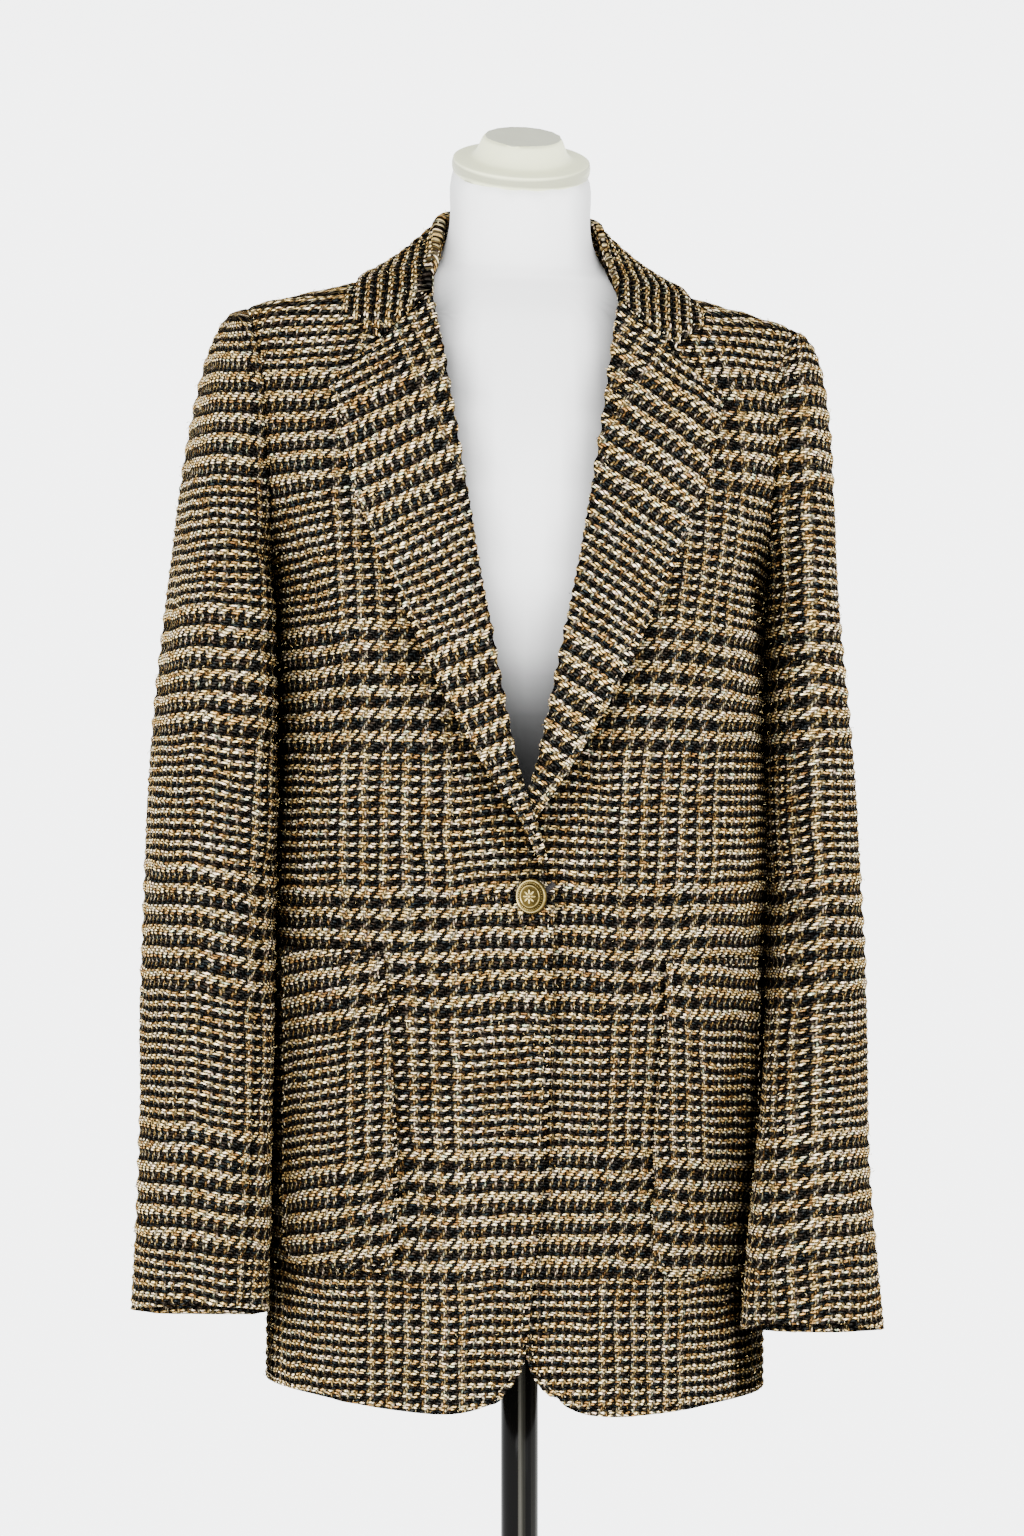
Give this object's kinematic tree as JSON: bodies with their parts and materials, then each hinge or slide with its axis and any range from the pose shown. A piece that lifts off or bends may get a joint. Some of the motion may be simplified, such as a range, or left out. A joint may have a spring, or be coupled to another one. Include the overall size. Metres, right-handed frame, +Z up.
{
  "type": "tweed hacking jacket on a limbless dress form",
  "caption": "Single-breasted tweed hacking jacket with notch lapels and patch pockets, worn on a limbless dress form with a pole and round base.",
  "frame": {"origin": "centre of the round base plate's underside, on the pole's axis, on the floor", "axes": "+Z up along the pole; the wearer faces -Y; the wearer's left is +X"},
  "size_m": [0.4873, 0.36, 1.5116],
  "materials": {
    "tweed": "black, cream and tan checked wool boucle tweed, lined",
    "button_metal": "polished gilt",
    "form_jersey": "smooth white jersey over a hard core",
    "cap_plastic": "cream, satin",
    "stand_metal": "black, satin"
  },
  "bodies": {
    "root": {"left_front": "tweed", "left_back": "tweed", "left_lapel": "tweed", "left_pocket": "tweed", "left_top_sleeve": "tweed", "left_under_sleeve": "tweed", "right_front": "tweed", "right_back": "tweed", "right_lapel": "tweed", "right_pocket": "tweed", "right_top_sleeve": "tweed", "right_under_sleeve": "tweed", "collar": "tweed", "button": "button_metal", "dress_form": "form_jersey", "neck_cap": "cap_plastic", "pole": "stand_metal", "base_plate": "stand_metal"}
  },
  "joints": []
}
